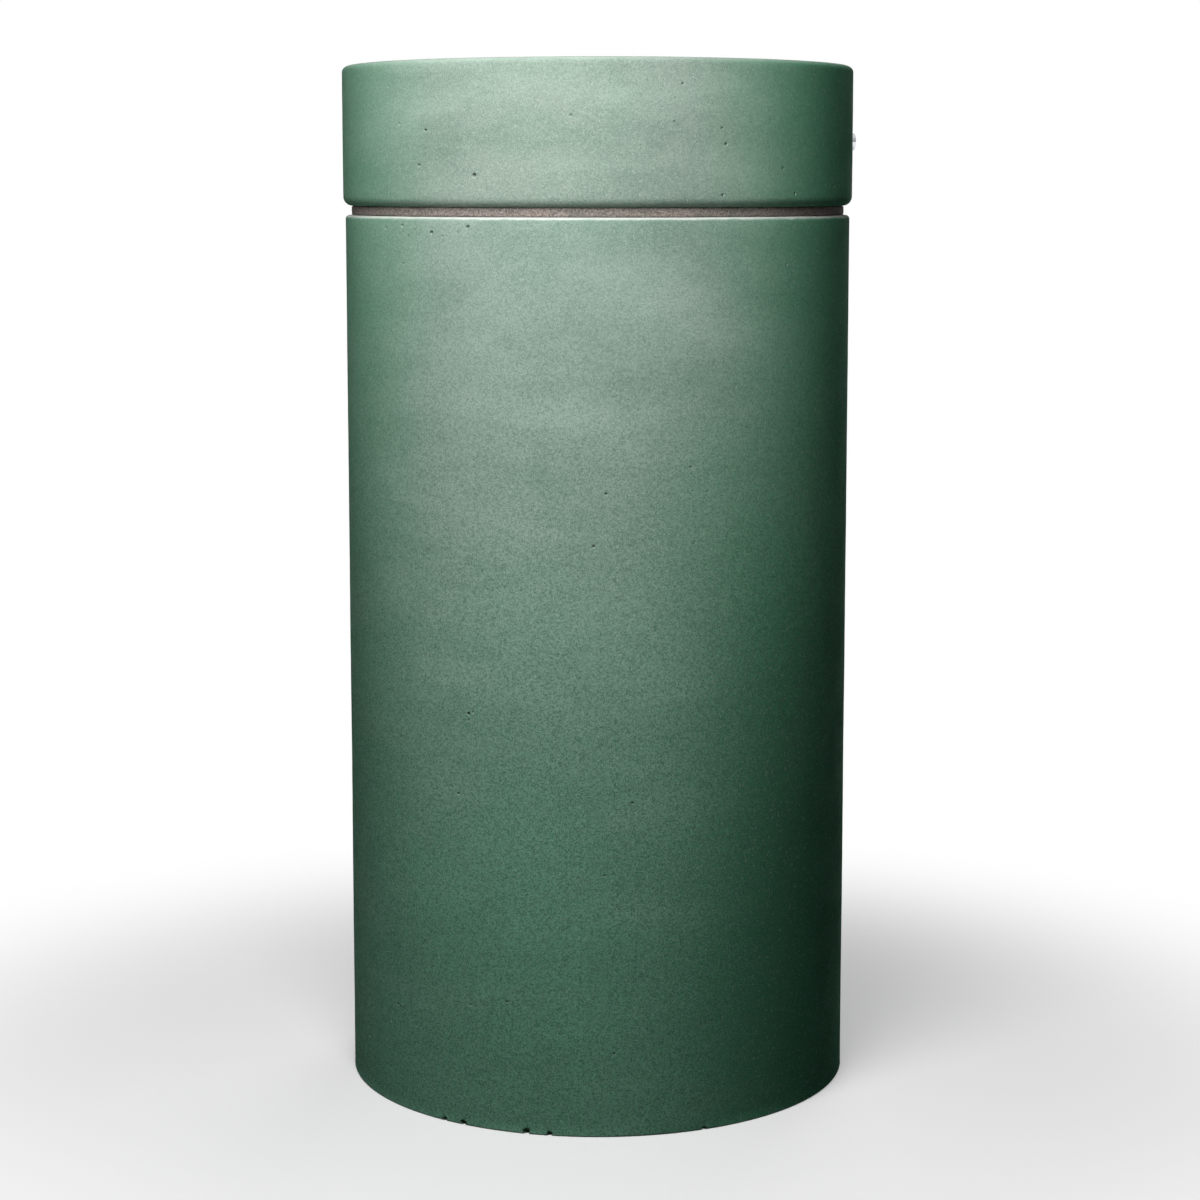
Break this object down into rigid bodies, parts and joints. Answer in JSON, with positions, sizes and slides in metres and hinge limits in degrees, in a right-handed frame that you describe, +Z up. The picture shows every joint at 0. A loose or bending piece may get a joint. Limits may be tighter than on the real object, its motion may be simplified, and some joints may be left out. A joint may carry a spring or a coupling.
{
  "type": "drinking fountain",
  "caption": "Cylindrical cast-concrete drinking fountain: bowl head on a recessed ring over a hollow pedestal, side push button, bubbler, drain and trap inside, rear service door.",
  "frame": {"origin": "centre of the pedestal's underside, on the floor", "axes": "+Z up along the cylinder's axis; the user stands at -Y; the push button is on +X; the service door faces +Y"},
  "size_m": [0.453, 0.45, 0.9],
  "materials": {
    "green_concrete": "cast, pigmented, matt",
    "ring_mortar": "granular bedding mortar",
    "chrome_fittings": "polished",
    "stainless": "brushed",
    "brass_fittings": "plain turned",
    "copper_tube": "drawn tube",
    "black_rubber": "moulded",
    "white_plastic": "moulded",
    "blue_plastic": "moulded"
  },
  "bodies": {
    "fountain": {"pedestal": "green_concrete", "head": "green_concrete", "spacer_ring": "ring_mortar", "drain_body": "chrome_fittings", "drain_strainer": "chrome_fittings", "strainer_screw": "chrome_fittings", "tailpiece": "chrome_fittings", "tailpiece_nut": "chrome_fittings", "button_bezel": "chrome_fittings", "bubbler_base": "chrome_fittings", "bubbler_nozzle": "chrome_fittings", "bubbler_guard": "chrome_fittings", "head_dowel_1": "stainless", "head_dowel_2": "stainless", "anchor_bolt_1": "stainless", "anchor_bolt_2": "stainless", "anchor_bolt_3": "stainless", "anchor_bolt_4": "stainless", "drain_washer": "stainless", "return_spring": "stainless", "bubbler_washer": "stainless", "pipe_bracket": "stainless", "door_frame": "stainless", "hinge_pin_lower": "stainless", "hinge_pin_upper": "stainless", "frame_screw_1": "stainless", "frame_screw_2": "stainless", "frame_screw_3": "stainless", "frame_screw_4": "stainless", "drain_locknut": "brass_fittings", "valve_body": "brass_fittings", "bezel_locknut": "brass_fittings", "bubbler_locknut": "brass_fittings", "bubbler_tube_nut": "brass_fittings", "stop_valve_body": "brass_fittings", "strainer_cap": "brass_fittings", "strainer_housing": "brass_fittings", "inlet_nut": "brass_fittings", "supply_tube": "copper_tube", "riser_tube": "copper_tube", "bubbler_tube": "copper_tube", "drain_gasket": "black_rubber", "bezel_washer": "black_rubber", "bubbler_gasket": "black_rubber", "trap_body": "white_plastic", "trap_cup": "white_plastic", "trap_inlet_nut": "white_plastic", "waste_elbow": "white_plastic", "waste_pipe": "white_plastic"},
    "button": {"push_button": "chrome_fittings", "valve_stem": "stainless"},
    "door": {"door_leaf": "stainless", "lock_body": "chrome_fittings", "lock_nut": "stainless"},
    "lock_cam": {"lock_plug": "stainless", "lock_tongue": "stainless", "tongue_nut": "stainless"},
    "stop_valve_lever": {"stop_valve_spindle": "brass_fittings", "stop_valve_handle": "blue_plastic", "handle_nut": "stainless"}
  },
  "joints": [
    {"name": "button_push", "type": "slide", "parent": "fountain", "child": "button", "axis": [-1, 0, 0], "range_m": [0, 0.0045], "stiffness_N_per_m": 1200, "springref_m": -0.003, "deforming": ["return_spring"]},
    {"name": "door_swing", "type": "hinge", "parent": "fountain", "child": "door", "pos_m": [-0.087, 0.1972, 0.37], "axis": [0, 0, 1], "range_deg": [0, 110]},
    {"name": "cam_lock_turn", "type": "hinge", "parent": "door", "child": "lock_cam", "pos_m": [0.048, 0.19, 0.37], "axis": [0, -1, 0], "range_deg": [0, 90]},
    {"name": "stop_valve_turn", "type": "hinge", "parent": "fountain", "child": "stop_valve_lever", "pos_m": [0.09486, 0.07019, 0.271], "axis": [0, -1, 0], "range_deg": [0, 90]}
  ]
}
